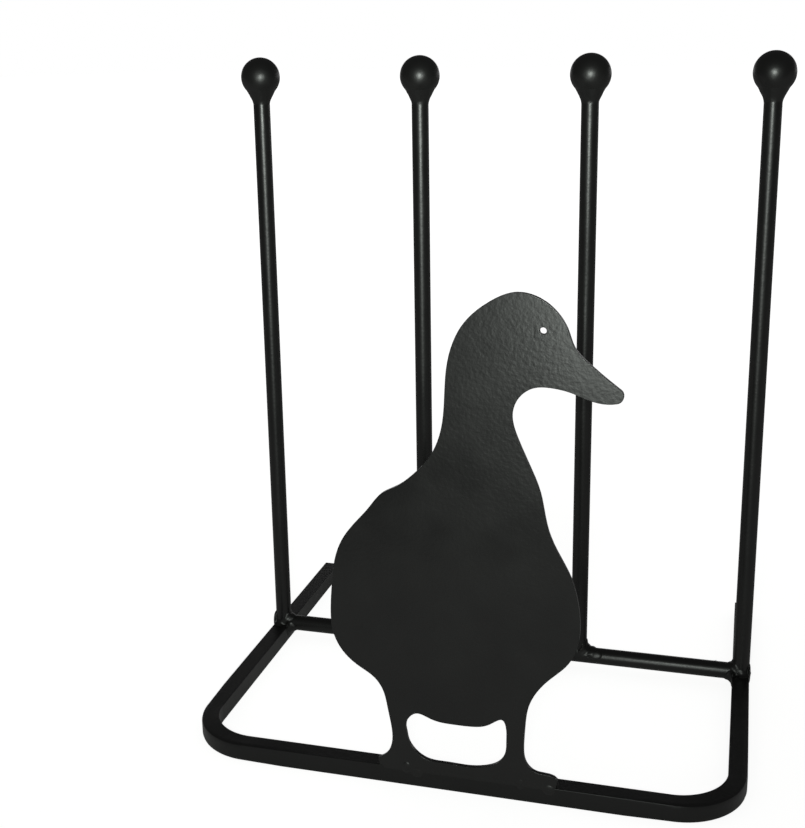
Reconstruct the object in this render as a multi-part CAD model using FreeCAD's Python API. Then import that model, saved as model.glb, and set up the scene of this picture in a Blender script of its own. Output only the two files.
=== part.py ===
"""Boot rack for two pairs: a welded steel frame with four ball-topped posts and a duck silhouette.

Millimetres. +Z is up, the front faces -Y. The origin is on the floor, under the middle of the base.
A square bar bent into a U stands on the floor. A round crossbar joins its side rails and carries the
two inner posts, and the two outer posts stand on the rails. Every joint is a weld bead of its own.
"""
import FreeCAD, Part
import math
import os
from FreeCAD import Vector

# ---------------------------------------------------------------- driving dimensions, mm
BASE_WIDTH = 370.0  # outside of one side rail to outside of the other
BASE_DEPTH = 300.0  # front face to the cut ends of the side rails
RAIL_SIDE = 12.0  # square bar
RAIL_EDGE_RADIUS = 0.9  # rolled edges of the bar
BEND_RADIUS = 45.0  # outside of the two front corners

CROSSBAR_DIAMETER = 12.0
CROSSBAR_DEPTH = 180.0  # front face to the crossbar's axis; the axis is level with the rails' top
SADDLE_DEPTH = 2.0  # how far an inner post's foot is coped over the crossbar

POST_DIAMETER = 12.0
BALL_DIAMETER = 28.0
BALL_CENTRE_HEIGHT = 441.0  # above the floor

WELD_REACH = 4.5  # how far a bead spreads from a bar's surface
WELD_RISE = 5.0  # how far a bead climbs along a bar
WELD_HOLLOW = 0.5  # how deep the face of a bead is dished
WELD_OVERHANG = 0.8  # how far a bead bulges over the rail's outer side
WELD_SAG = 2.0  # how far it hangs down there
END_WELD_REACH = 7.0  # how far the bead at the crossbar's end spreads over the rail's inner side
END_WELD_RISE = 5.5  # how far it climbs along the crossbar
ROOT_GAP = 0.5  # left between the crossbar's ends and the rails, and filled by the weld
NECK_REACH = 3.6  # width of the bead under a ball, from the post's surface
NECK_DROP = 4.4  # how far that bead runs down the post, below the ball

PLATE_HEIGHT = 312.5  # duck, from the rail's top to the crown
PLATE_THICKNESS = 3.0
EYE_DIAMETER = 4.0

TACK_WIDTH = 5.0  # round tack on the seam under the duck's feet
TACK_PROUD = 0.8
BACK_WELD_LEG = 3.0  # fillet behind the duck's feet
BACK_WELD_LENGTH = 14.0

# ---------------------------------------------------------------- the duck, in percent of its height
# (across, up), across from the rack's middle and up from the rail's top, with the bill to the right.
DUCK_BACK = [  # left toe, leg, belly, back, neck, crown, brow and the top of the bill
    (-14.4, 1.6), (-13.4, 2.1), (-12.6, 2.8), (-11.9, 4.0), (-11.4, 5.8), (-11.4, 8.4),
    (-12.2, 13.1), (-13.1, 17.0), (-14.9, 19.7), (-18.2, 21.9), (-21.2, 24.5), (-23.2, 28.1),
    (-23.8, 33.2), (-23.4, 39.0), (-22.4, 45.4), (-20.9, 49.1), (-18.7, 52.2), (-15.5, 55.9),
    (-12.5, 59.4), (-9.3, 61.2), (-6.2, 63.7), (-2.9, 67.5), (-0.6, 73.0), (0.1, 78.7),
    (0.4, 83.8), (1.3, 88.6), (3.9, 93.9), (8.6, 98.0), (13.9, 100.0), (18.1, 99.0),
    (21.4, 96.4), (23.3, 93.3), (24.5, 90.2), (26.9, 87.6), (30.1, 84.9), (32.7, 82.9),
]
BILL_TIP = (33.5, 81.4)
DUCK_FRONT = [  # underside of the bill, throat, breast, hip, right leg and right toe
    (32.2, 80.1), (29.4, 80.0), (26.9, 80.6), (24.0, 81.7), (20.5, 82.4), (17.0, 82.2),
    (14.4, 80.3), (13.1, 77.1), (14.2, 72.2), (16.6, 66.8), (18.6, 61.7), (19.5, 57.3),
    (20.7, 53.0), (22.6, 49.2), (24.6, 45.3), (25.9, 40.9), (26.5, 35.2), (26.0, 31.0),
    (24.2, 27.2), (21.3, 24.2), (18.4, 20.8), (16.6, 16.8), (16.0, 12.2), (15.8, 8.0),
    (16.2, 5.1), (17.9, 3.2), (22.0, 2.4), (22.7, 1.8),
]
LEG_GAP = [  # opening between the belly, the legs and the foot strip
    (-8.4, 8.8), (-7.8, 11.5), (-6.3, 12.7), (-3.2, 11.9), (1.3, 11.3), (5.8, 11.4), (9.0, 12.4),
    (11.6, 13.6), (12.2, 12.2), (12.3, 9.5), (12.2, 7.0), (11.1, 4.5), (7.8, 2.7), (4.5, 2.2), (0.0, 2.3),
    (-4.0, 2.6), (-6.8, 4.5), (-8.0, 6.6),
]
LEFT_TOE = (-14.2, 0.0)
RIGHT_TOE = (22.3, 0.0)
EYE = (18.7, 93.1)
LEG_CENTRES = (-9.6, 14.1)
TACKS = (-8.0, 15.4, 21.2)

# ---------------------------------------------------------------- places worked out from the sizes
FRONT_Y = -BASE_DEPTH / 2
REAR_Y = BASE_DEPTH / 2
CROSSBAR_Y = FRONT_Y + CROSSBAR_DEPTH
CROSSBAR_RADIUS = CROSSBAR_DIAMETER / 2
POST_RADIUS = POST_DIAMETER / 2
BALL_RADIUS = BALL_DIAMETER / 2
OUTER_X = BASE_WIDTH / 2 - RAIL_SIDE / 2
INNER_X = OUTER_X / 3
RAIL_INNER_X = BASE_WIDTH / 2 - RAIL_SIDE
RAIL_TOP = RAIL_SIDE
BALL_SEAT_Z = BALL_CENTRE_HEIGHT - math.sqrt(BALL_RADIUS ** 2 - POST_RADIUS ** 2)
PLATE_BACK_Y = FRONT_Y + PLATE_THICKNESS

UP = Vector(0, 0, 1)
ALONG_X = Vector(1, 0, 0)
ALONG_Y = Vector(0, 1, 0)


def save(name, shape):
    """Write one sub-part as its own STEP file."""
    shape.exportStep("parts/" + name + ".step")
    print(name, "solids", len(shape.Solids), "volume", round(shape.Volume, 1), "valid", shape.isValid())


def unwrap(shape):
    """Return the single solid of a compound by itself."""
    return shape.Solids[0] if len(shape.Solids) == 1 else shape


def one_solid(shape):
    """Merge split faces and return the single solid, without a wrapping compound."""
    return unwrap(shape.removeSplitter())


# ---------------------------------------------------------------- base
def rounded_square(centre, side, radius):
    """Cross-section of the bar in the XZ plane: a square with rolled corners."""
    half = side / 2
    flat = half - radius
    bow = radius * math.sqrt(0.5)
    edges = []
    for turn in range(4):
        angle = math.radians(90 * turn)
        across = Vector(math.cos(angle), 0, math.sin(angle))
        up = Vector(-math.sin(angle), 0, math.cos(angle))
        start = centre + across * half - up * flat
        end = centre + across * half + up * flat
        corner = centre + across * flat + up * flat
        edges.append(Part.LineSegment(start, end).toShape())
        edges.append(Part.Arc(end, corner + (across + up) * bow, corner + up * radius).toShape())
    return Part.Wire(edges)


def base_frame():
    """Square bar bent into a U: left rail, front left corner, front rail, front right corner, right rail."""
    bend = BEND_RADIUS - RAIL_SIDE / 2
    bow = bend * math.sqrt(0.5)
    rail_y = FRONT_Y + RAIL_SIDE / 2
    level = RAIL_SIDE / 2
    left_end = Vector(-OUTER_X, REAR_Y, level)
    left_side = Vector(-OUTER_X, rail_y + bend, level)
    left_front = Vector(-OUTER_X + bend, rail_y, level)
    left_bow = Vector(-OUTER_X + bend - bow, rail_y + bend - bow, level)
    right_front = Vector(OUTER_X - bend, rail_y, level)
    right_side = Vector(OUTER_X, rail_y + bend, level)
    right_bow = Vector(OUTER_X - bend + bow, rail_y + bend - bow, level)
    right_end = Vector(OUTER_X, REAR_Y, level)
    path = Part.Wire([
        Part.LineSegment(left_end, left_side).toShape(),
        Part.Arc(left_side, left_bow, left_front).toShape(),
        Part.LineSegment(left_front, right_front).toShape(),
        Part.Arc(right_front, right_bow, right_side).toShape(),
        Part.LineSegment(right_side, right_end).toShape(),
    ])
    section = rounded_square(left_end, RAIL_SIDE, RAIL_EDGE_RADIUS)
    return one_solid(path.makePipeShell([section], True, False))


def round_bar(start, end, radius):
    """Solid round bar between two points."""
    run = end - start
    return Part.makeCylinder(radius, run.Length, start, run)


def raw_crossbar():
    """Crossbar between the side rails, before it is coped round any wider outer post."""
    left = Vector(ROOT_GAP - RAIL_INNER_X, CROSSBAR_Y, RAIL_TOP)
    right = Vector(RAIL_INNER_X - ROOT_GAP, CROSSBAR_Y, RAIL_TOP)
    return round_bar(left, right, CROSSBAR_RADIUS)


# ---------------------------------------------------------------- posts and balls
def outer_post(x):
    """Post that stands on a side rail."""
    return round_bar(Vector(x, CROSSBAR_Y, RAIL_TOP), Vector(x, CROSSBAR_Y, BALL_SEAT_Z), POST_RADIUS)


def inner_post(x):
    """Post that stands on the crossbar, coped over its top."""
    foot = RAIL_TOP + CROSSBAR_RADIUS - SADDLE_DEPTH
    bar = round_bar(Vector(x, CROSSBAR_Y, foot), Vector(x, CROSSBAR_Y, BALL_SEAT_Z), POST_RADIUS)
    return one_solid(bar.cut(raw_crossbar()))


def ball(x):
    """Solid ball with a spot face as wide as the post that it sits on."""
    centre = Vector(x, CROSSBAR_Y, BALL_CENTRE_HEIGHT)
    whole = Part.makeSphere(BALL_RADIUS, centre)
    below = Part.makeCylinder(BALL_RADIUS, BALL_RADIUS, Vector(x, CROSSBAR_Y, BALL_SEAT_Z), -UP)
    return one_solid(whole.cut(below))


# ---------------------------------------------------------------- weld beads
def revolve_section(edges, origin, axis):
    """Turn a closed section, drawn at the axis's foot, a full circle about the axis."""
    return Part.Face(Part.Wire(edges)).revolve(origin, axis, 360)


def collar(foot, axis, bar_radius, skirt, reach=WELD_REACH, rise=WELD_RISE):
    """Dished bead round a bar, with the bar's core: it stands at foot, and its skirt reaches behind foot."""
    side = ALONG_Y
    top = foot + side * bar_radius + axis * rise
    toe = foot + side * (bar_radius + reach)
    slope = (side * rise + axis * reach).normalize()
    middle = (top + toe) * 0.5 - slope * WELD_HOLLOW
    edges = [
        Part.Arc(top, middle, toe).toShape(),
        Part.LineSegment(toe, toe - axis * skirt).toShape(),
        Part.LineSegment(toe - axis * skirt, foot - axis * skirt).toShape(),
        Part.LineSegment(foot - axis * skirt, foot + axis * rise).toShape(),
        Part.LineSegment(foot + axis * rise, top).toShape(),
    ]
    return revolve_section(edges, foot, axis)


def block(low, high):
    """Box between two opposite corners, given in any order."""
    corner = Vector(min(low.x, high.x), min(low.y, high.y), min(low.z, high.z))
    return Part.makeBox(abs(high.x - low.x), abs(high.y - low.y), abs(high.z - low.z), corner)


def saddle_bead(x):
    """Bead round a post's foot on the crossbar, carried down the crossbar's sides to its axis."""
    foot = Vector(x, CROSSBAR_Y, RAIL_TOP + CROSSBAR_RADIUS)
    bead = collar(foot, UP, POST_RADIUS, CROSSBAR_RADIUS)
    span = POST_RADIUS + WELD_REACH
    jacket = Part.makeCylinder(
        CROSSBAR_RADIUS + WELD_REACH / 2, 2 * span, Vector(x - span, CROSSBAR_Y, RAIL_TOP), ALONG_X)
    reach = Vector(span, span, 0)
    above = bead.common(block(foot - reach, foot + reach + UP * WELD_RISE))
    return bead.common(jacket).fuse(above)


def inner_foot_weld(x):
    """Weld of an inner post to the crossbar."""
    return one_solid(saddle_bead(x).cut(raw_crossbar()).cut(inner_post(x)))


def joint_weld(side, frame):
    """Weld where a side rail, an outer post and the crossbar's end meet; side is -1 or 1."""
    x = side * OUTER_X
    foot = Vector(x, CROSSBAR_Y, RAIL_TOP)
    span = POST_RADIUS + WELD_REACH
    outward = ALONG_X * side * (RAIL_SIDE / 2 + WELD_OVERHANG)
    inward = ALONG_X * side * -span
    on_rail = collar(foot, UP, POST_RADIUS, WELD_SAG).common(block(
        foot + outward - ALONG_Y * span - UP * WELD_SAG, foot + inward + ALONG_Y * span + UP * WELD_RISE))

    on_crossbar = saddle_bead(x).common(block(
        foot - ALONG_Y * span, foot + inward + ALONG_Y * span + UP * (CROSSBAR_RADIUS + WELD_RISE)))

    face = Vector(side * RAIL_INNER_X, CROSSBAR_Y, RAIL_TOP)
    depth = RAIL_SIDE - RAIL_EDGE_RADIUS
    spread = CROSSBAR_RADIUS + END_WELD_REACH
    at_end = collar(
        face, ALONG_X * -side, CROSSBAR_RADIUS, RAIL_EDGE_RADIUS, END_WELD_REACH, END_WELD_RISE)
    below = at_end.common(block(
        face + ALONG_X * side * RAIL_EDGE_RADIUS - ALONG_Y * spread - UP * depth,
        face - ALONG_X * side * END_WELD_RISE + ALONG_Y * spread))
    bead = on_rail.fuse([on_crossbar, below])
    return unwrap(bead.cut(frame).cut(outer_post(x)).cut(raw_crossbar()))


def neck_weld(x):
    """Bead that fills the corner between a ball and its post."""
    axis_foot = Vector(x, CROSSBAR_Y, 0)
    centre = Vector(x, CROSSBAR_Y, BALL_CENTRE_HEIGHT)

    def on_ball(radius):
        drop = math.sqrt(BALL_RADIUS ** 2 - radius ** 2)
        return centre + ALONG_Y * radius - UP * drop

    seat = on_ball(POST_RADIUS)
    edge = on_ball(POST_RADIUS + NECK_REACH)
    halfway = on_ball(POST_RADIUS + NECK_REACH / 2)
    toe = centre + ALONG_Y * POST_RADIUS - UP * (BALL_RADIUS + NECK_DROP)
    slope = UP.cross(ALONG_X).normalize()
    middle = (edge + toe) * 0.5 - slope * (WELD_HOLLOW / 2)
    edges = [
        Part.Arc(seat, halfway, edge).toShape(),
        Part.Arc(edge, middle, toe).toShape(),
        Part.LineSegment(toe, seat).toShape(),
    ]
    return revolve_section(edges, axis_foot, UP)


# ---------------------------------------------------------------- duck plate
def on_plate(point):
    """Place on the plate's front face of a point in percent of the duck's height."""
    scale = PLATE_HEIGHT / 100
    return Vector(point[0] * scale, FRONT_Y, RAIL_TOP + point[1] * scale)


def smooth_edge(points, closed=False):
    """Smooth curve through the points."""
    curve = Part.BSplineCurve()
    curve.interpolate([on_plate(point) for point in points], PeriodicFlag=closed)
    return curve.toShape()


def duck_plate():
    """Flat duck cut from sheet, with a hole for its eye and an opening between its legs."""
    left_toe = on_plate(LEFT_TOE)
    right_toe = on_plate(RIGHT_TOE)
    outline = Part.Wire([
        Part.LineSegment(left_toe, on_plate(DUCK_BACK[0])).toShape(),
        smooth_edge(DUCK_BACK),
        Part.Arc(on_plate(DUCK_BACK[-1]), on_plate(BILL_TIP), on_plate(DUCK_FRONT[0])).toShape(),
        smooth_edge(DUCK_FRONT),
        Part.LineSegment(on_plate(DUCK_FRONT[-1]), right_toe).toShape(),
        Part.LineSegment(right_toe, left_toe).toShape(),
    ])
    through = ALONG_Y * PLATE_THICKNESS
    blank = Part.Face(outline).extrude(through)
    gap = Part.Face(Part.Wire([smooth_edge(LEG_GAP, closed=True)])).extrude(through)
    eye = Part.makeCylinder(EYE_DIAMETER / 2, PLATE_THICKNESS, on_plate(EYE), ALONG_Y)
    return one_solid(blank.cut([gap, eye]))


def front_tacks():
    """Small domed tacks across the seam between the duck's feet and the front rail."""
    radius = (TACK_WIDTH ** 2 / 4 + TACK_PROUD ** 2) / (2 * TACK_PROUD)
    domes = []
    for across in TACKS:
        seam = on_plate((across, 0))
        dome = Part.makeSphere(radius, seam + ALONG_Y * (radius - TACK_PROUD))
        behind = Part.makeBox(
            2 * radius, 2 * radius, 2 * radius, Vector(seam.x - radius, FRONT_Y, seam.z - radius))
        domes.append(one_solid(dome.cut(behind)))
    return Part.makeCompound(domes)


def back_welds():
    """Short fillets behind the duck's legs, between the plate's back and the rail's top."""
    beads = []
    for across in LEG_CENTRES:
        start = on_plate((across, 0)) - ALONG_X * (BACK_WELD_LENGTH / 2)
        corner = Vector(start.x, PLATE_BACK_Y, RAIL_TOP)
        high = corner + UP * BACK_WELD_LEG
        toe = corner + ALONG_Y * BACK_WELD_LEG
        bow = (high + toe) * 0.5 - (UP + ALONG_Y).normalize() * (WELD_HOLLOW / 2)
        section = Part.Wire([
            Part.LineSegment(corner, toe).toShape(),
            Part.Arc(toe, bow, high).toShape(),
            Part.LineSegment(high, corner).toShape(),
        ])
        beads.append(Part.Face(section).extrude(ALONG_X * BACK_WELD_LENGTH))
    return Part.makeCompound(beads)


def main():
    """Build every sub-part and write it to its own file."""
    os.makedirs("parts", exist_ok=True)
    frame = base_frame()
    save("base_frame", frame)

    places = {
        "left_outer": -OUTER_X,
        "left_inner": -INNER_X,
        "right_inner": INNER_X,
        "right_outer": OUTER_X,
    }
    for name, x in places.items():
        post = outer_post(x) if name.endswith("outer") else inner_post(x)
        save("post_" + name, post)
        save("ball_" + name, ball(x))
        save("neck_weld_" + name, neck_weld(x))
    outer_posts = [outer_post(-OUTER_X), outer_post(OUTER_X)]
    save("crossbar", unwrap(raw_crossbar().cut(outer_posts)))

    save("foot_weld_left", inner_foot_weld(-INNER_X))
    save("foot_weld_right", inner_foot_weld(INNER_X))
    save("joint_weld_left", joint_weld(-1, frame))
    save("joint_weld_right", joint_weld(1, frame))

    save("duck_plate", duck_plate())
    save("plate_front_tacks", front_tacks())
    save("plate_back_welds", back_welds())


main()
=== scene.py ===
"""Boot rack for two pairs, dressed for its studio view.

A welded steel frame stands on the floor: a square bar bent into a U, a round crossbar, and four posts
with a steel ball on each. A duck cut from plate stands on the front rail. All of it is powder coated
in one satin black. Metres, in the rack's own frame: +Z is up, the front faces -Y, and the origin is on
the floor.
"""
import logging
import math
import random
from collections.abc import Iterable
from dataclasses import dataclass
from enum import Enum
from typing import ClassVar

import bmesh
import bpy
from mathutils import Matrix, Vector, geometry, noise


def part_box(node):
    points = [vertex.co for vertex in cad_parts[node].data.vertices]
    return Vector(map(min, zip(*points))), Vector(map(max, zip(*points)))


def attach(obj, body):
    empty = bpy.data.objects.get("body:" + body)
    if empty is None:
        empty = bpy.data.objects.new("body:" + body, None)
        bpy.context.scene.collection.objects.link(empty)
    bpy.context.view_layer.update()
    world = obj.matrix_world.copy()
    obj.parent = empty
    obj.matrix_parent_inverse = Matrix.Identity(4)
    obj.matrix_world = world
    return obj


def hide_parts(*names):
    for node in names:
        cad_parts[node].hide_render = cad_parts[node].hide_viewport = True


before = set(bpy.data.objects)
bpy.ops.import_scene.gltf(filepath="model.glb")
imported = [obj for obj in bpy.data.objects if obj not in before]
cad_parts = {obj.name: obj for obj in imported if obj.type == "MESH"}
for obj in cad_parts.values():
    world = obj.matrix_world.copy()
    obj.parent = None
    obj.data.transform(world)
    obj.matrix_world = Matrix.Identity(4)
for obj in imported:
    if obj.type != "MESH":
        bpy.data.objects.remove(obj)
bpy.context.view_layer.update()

LOG = logging.getLogger("boot_rack")
MM = 0.001
MERGE = 0.001 * MM  # vertices that lie closer than this are one
CRISP_TURN = 40  # degrees: an edge that turns by more stays crisp on a plain piece
CURVED_TURN = 50  # the same on a piece whose curves are cut in coarser steps
FUSED_TURN = 80  # the same on fused weld metal, which has hardly a crisp edge
NOISE_RANGE = (0.3, 0.7)  # most of a noise texture's height lies between these
WAVE_RADIANS = 20  # turn of a wave texture's bands over one unit, at a scale of 1
UP = Vector((0, 0, 1))
ALONG_X = Vector((1, 0, 0))
ALONG_Y = Vector((0, 1, 0))

Shape = bmesh.types.BMesh
Piece = bpy.types.Object
Tree = bpy.types.NodeTree
Socket = bpy.types.NodeSocket
Radii = tuple[float, float, float]


class Slot(Enum):
    """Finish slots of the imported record."""

    BAR = "bar_coat"
    BALL = "ball_coat"
    PLATE = "plate_coat"
    WELD = "weld_coat"


class Marks(Enum):
    """What shaped the steel's surface before it was coated, and still shows through the coat."""

    ROLLED = "rolled"
    FORGED = "forged"
    SAWN = "sawn"
    LASER_CUT = "laser cut"
    WELDED = "welded"


# ---- finishes
def linear_colour(code: str) -> tuple[float, float, float, float]:
    """Turn an sRGB hex colour into linear values.

    Args:
        code: colour such as "#1A1A19".

    Returns:
        Linear red, green and blue, and an alpha of 1.
    """
    channels = [int(code[at:at + 2], 16) / 255 for at in (1, 3, 5)]
    red, green, blue = [c / 12.92 if c <= 0.04045 else ((c + 0.055) / 1.055) ** 2.4 for c in channels]
    return red, green, blue, 1.0


def add_node(tree: Tree, kind: str, settings: dict | None = None,
             values: dict | None = None, links: dict | None = None) -> bpy.types.Node:
    """Add one shader node with its settings, its fixed inputs and its links.

    Args:
        tree: node tree that gets the node.
        kind: Blender's identifier of the node, without "ShaderNode".
        settings: attributes of the node.
        values: fixed inputs, by name or number.
        links: sockets that feed inputs, by name or number.

    Returns:
        The new node.
    """
    node = tree.nodes.new("ShaderNode" + kind)
    for name, value in (settings or {}).items():
        setattr(node, name, value)
    for name, value in (values or {}).items():
        node.inputs[name].default_value = value
    for name, source in (links or {}).items():
        tree.links.new(source, node.inputs[name])
    return node


def empty_tree(owner: bpy.types.ID) -> Tree:
    """Give a material or a world an empty node tree."""
    owner.use_nodes = True
    owner.node_tree.nodes.clear()
    return owner.node_tree


def noise_height(tree: Tree, place: Socket, spacing: float, detail: float,
                 roughness: float = 0.5) -> Socket:
    """Return the height of a noise texture, from about 0 to 1, whose humps lie a spacing apart."""
    values = {"Scale": 1 / spacing, "Detail": detail, "Roughness": roughness}
    return add_node(tree, "TexNoise", None, values, {"Vector": place}).outputs["Fac"]


def calculate(tree: Tree, operation: str, first: Socket, second: Socket) -> Socket:
    """Join two values by one operation of the math node."""
    return add_node(tree, "Math", {"operation": operation}, links={0: first, 1: second}).outputs["Value"]


def remap(tree: Tree, value: Socket, source: tuple[float, float], target: tuple[float, float],
          gently: bool = True) -> Socket:
    """Map a value from one range to another, and hold it beyond the ends.

    Args:
        tree: node tree that gets the node.
        value: the value.
        source: range that it is mapped from.
        target: range that it is mapped to.
        gently: whether the ends are eased.

    Returns:
        Socket with the mapped value.
    """
    easing = {"interpolation_type": "SMOOTHSTEP" if gently else "LINEAR"}
    limits = dict(zip(("From Min", "From Max", "To Min", "To Max"), (*source, *target)))
    return add_node(tree, "MapRange", easing, limits, {"Value": value}).outputs["Result"]


@dataclass(frozen=True)
class PowderCoat:
    """Satin black polyester powder, sprayed dry on steel and baked.

    The baked film flows into low humps, the orange peel, that break up each highlight, and its gloss
    drifts a little over a few centimetres. What lies under it shows softened.
    """

    name: str
    marks: Marks
    dark: str = "#0E0E0E"
    light: str = "#141413"
    roughness: float = 0.36
    roughness_drift: float = 0.03
    specular: float = 0.6
    peel_spacing: float = 2.2 * MM
    peel_depth: float = 0.07 * MM
    drift_spacing: float = 28 * MM
    mark_spacing: float = 1.0 * MM
    mark_depth: float = 0.05 * MM
    saw_tilt: float = 12  # degrees from level
    drag_stretch: float = 0.05  # share of the marks' frequency that is left along a laser's beam

    def mark_height(self, tree: Tree, place: Socket) -> Socket:
        """Make the height of the marks under the film.

        Args:
            tree: node tree of the material.
            place: Object coordinates.

        Returns:
            Socket with the marks' height, from about 0 to 1.
        """
        if self.marks is Marks.SAWN:
            one_line = 2 * math.pi / WAVE_RADIANS / self.mark_spacing
            tilt = math.radians(self.saw_tilt)
            tilted = add_node(tree, "Mapping", values={"Rotation": (0, tilt, 0)}, links={"Vector": place})
            saw = add_node(tree, "TexWave", {"wave_type": "BANDS", "bands_direction": "Z"},
                           {"Scale": one_line, "Distortion": 1.2, "Detail": 2.0, "Detail Scale": 1.5},
                           {"Vector": tilted.outputs["Vector"]})
            return saw.outputs["Fac"]
        along_beam = self.drag_stretch if self.marks is Marks.LASER_CUT else 1
        mapped = add_node(tree, "Mapping", values={"Scale": (1, along_beam, 1)}, links={"Vector": place})
        return noise_height(tree, mapped.outputs["Vector"], self.mark_spacing, detail=3.0, roughness=0.55)

    def material(self) -> bpy.types.Material:
        """Make the material, or return the one that is there.

        Returns:
            The coat's material.
        """
        found = bpy.data.materials.get(self.name)
        if found:
            return found
        made = bpy.data.materials.new(self.name)
        tree = empty_tree(made)
        place = add_node(tree, "TexCoord").outputs["Object"]
        drift = noise_height(tree, place, self.drift_spacing, detail=2.0)
        peel = noise_height(tree, place, self.peel_spacing, detail=1.0, roughness=0.4)
        colour = add_node(tree, "Mix", {"data_type": "RGBA"},
                          {"A": linear_colour(self.dark), "B": linear_colour(self.light)},
                          {"Factor": drift})
        rough = (self.roughness - self.roughness_drift, self.roughness + self.roughness_drift)
        gloss = remap(tree, drift, NOISE_RANGE, rough, gently=False)
        under = add_node(tree, "Bump", None, {"Distance": self.mark_depth},
                         {"Height": self.mark_height(tree, place)})
        film = add_node(tree, "Bump", None, {"Distance": self.peel_depth},
                        {"Height": peel, "Normal": under.outputs["Normal"]})
        coat = add_node(tree, "BsdfPrincipled", None, {"Specular IOR Level": self.specular},
                        {"Base Color": colour.outputs["Result"], "Roughness": gloss,
                         "Normal": film.outputs["Normal"]})
        add_node(tree, "OutputMaterial", links={"Surface": coat.outputs["BSDF"]})
        return made


# Powder-coated steel bar, hot rolled: the long shallow unevenness of rolling makes each streak waver.
BAR_COAT = PowderCoat("satin_black_on_rolled_bar", Marks.ROLLED, mark_spacing=6 * MM)
# The same bar's end, cut off by a saw: its fine tilted lines show through the film as a faint grain.
END_COAT = PowderCoat("satin_black_on_sawn_end", Marks.SAWN, mark_spacing=0.9 * MM, mark_depth=0.08 * MM)
# Powder-coated steel ball, hot forged and tumbled: wide dimples soften the edge of its round highlight.
BALL_COAT = PowderCoat("satin_black_on_forged_ball", Marks.FORGED, roughness=0.38, mark_spacing=5 * MM)
# Powder-coated weld metal, frozen in ripples: the rougher film over them glints in small patches.
WELD_COAT = PowderCoat("satin_black_on_weld", Marks.WELDED, roughness=0.40, mark_spacing=1.8 * MM,
                       mark_depth=0.08 * MM)
# Powder-coated steel sheet, cold rolled flat: nothing hides the orange peel here, and it gives the
# broad grey sheen its grain.
PLATE_COAT = PowderCoat("satin_black_on_sheet", Marks.ROLLED, dark="#121212", light="#191918",
                        specular=0.7, roughness=0.30, peel_spacing=2.1 * MM,
                        peel_depth=0.08 * MM, mark_spacing=9 * MM)
# The sheet's edge, cut by laser: drag lines run through the thickness and make the narrow edge matt.
EDGE_COAT = PowderCoat("satin_black_on_laser_cut_edge", Marks.LASER_CUT, roughness=0.42,
                       mark_spacing=0.8 * MM, mark_depth=0.16 * MM)


# ---- making pieces
def into_scene(name: str, content: bpy.types.ID) -> Piece:
    """Make an object of a mesh, a lamp or a camera, and put it in the scene."""
    made = bpy.data.objects.new(name, content)
    bpy.context.scene.collection.objects.link(made)
    return made


def mesh_object(name: str, shape: Shape) -> Piece:
    """Turn a bmesh, which is freed, into an object in the scene."""
    mesh = bpy.data.meshes.new(name)
    shape.to_mesh(mesh)
    shape.free()
    return into_scene(name, mesh)


def make_piece(name: str, shape: Shape, stands_for: Iterable[str],
               sharp: float = CRISP_TURN) -> Piece:
    """Turn a finished bmesh into a piece that rides on the rack and stands for its CAD nodes.

    Args:
        name: name of the piece.
        shape: the mesh, which is freed.
        stands_for: CAD nodes that the piece replaces.
        sharp: edges that turn by more than this many degrees stay crisp.

    Returns:
        The new object.
    """
    piece = mesh_object(name, shape)
    piece.data.shade_smooth()
    piece.data.set_sharp_from_angle(angle=math.radians(sharp))
    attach(piece, "root")
    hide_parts(*stands_for)
    return piece


def even_shading(piece: Piece) -> None:
    """Keep flat faces flat next to rounded edges by weighting the normals by area."""
    weighted = piece.modifiers.new("even_shading", "WEIGHTED_NORMAL")
    weighted.keep_sharp = True


def ring_edges(ring: list) -> list[bmesh.types.BMEdge]:
    """Pick the edges out of a ring's geometry."""
    return [part for part in ring if isinstance(part, bmesh.types.BMEdge)]


def extrude_run(shape: Shape, ring: list, run: Vector, pitch: float) -> list:
    """Extrude a ring of edges along a straight run, with a new ring every pitch or less.

    Args:
        shape: mesh that holds the ring.
        ring: the ring's edges and vertices.
        run: the run.
        pitch: greatest distance between rings.

    Returns:
        Edges and vertices of the ring at the far end.
    """
    steps = math.ceil(run.length / pitch)
    for _ in range(steps):
        grown = bmesh.ops.extrude_edge_only(shape, edges=ring_edges(ring))["geom"]
        ring = [part for part in grown if not isinstance(part, bmesh.types.BMFace)]
        far = [part for part in ring if isinstance(part, bmesh.types.BMVert)]
        bmesh.ops.translate(shape, vec=run / steps, verts=far)
    return ring


def smooth_share(share: float) -> float:
    """Ease a share from 0 to 1 so that it starts and ends level."""
    return share * share * (3 - 2 * share)


def round_off(shape: Shape, parts: list, radius: float, steps: int, affect: str = "EDGES",
              material: int = -1) -> None:
    """Bevel edges or corners to a round, whose faces take a given material or their neighbours'."""
    bmesh.ops.bevel(shape, geom=parts, offset=radius, offset_type="OFFSET", segments=steps, profile=0.5,
                    affect=affect, material=material)


def round_bar(shape: Shape, start: Vector, end: Vector, radius: float, sides: int,
              pitch: float) -> None:
    """Draw a round bar between two points, with a ring of vertices every pitch or less.

    Args:
        shape: mesh that gets the bar.
        start: centre of the first end.
        end: centre of the other end.
        radius: radius of the bar.
        sides: number of facets round it.
        pitch: greatest distance between rings.
    """
    run = end - start
    aim = UP.rotation_difference(run.normalized()).to_matrix().to_4x4()
    made = bmesh.ops.create_circle(shape, cap_ends=False, segments=sides, radius=radius,
                                   matrix=Matrix.Translation(start) @ aim)
    rim_edges = dict.fromkeys(edge for vert in made["verts"] for edge in vert.link_edges)
    first = [*made["verts"], *rim_edges]
    last = extrude_run(shape, first, run, pitch)
    for rim in (first, last):
        bmesh.ops.edgeloop_fill(shape, edges=ring_edges(rim))
    bmesh.ops.recalc_face_normals(shape, faces=shape.faces)


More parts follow.
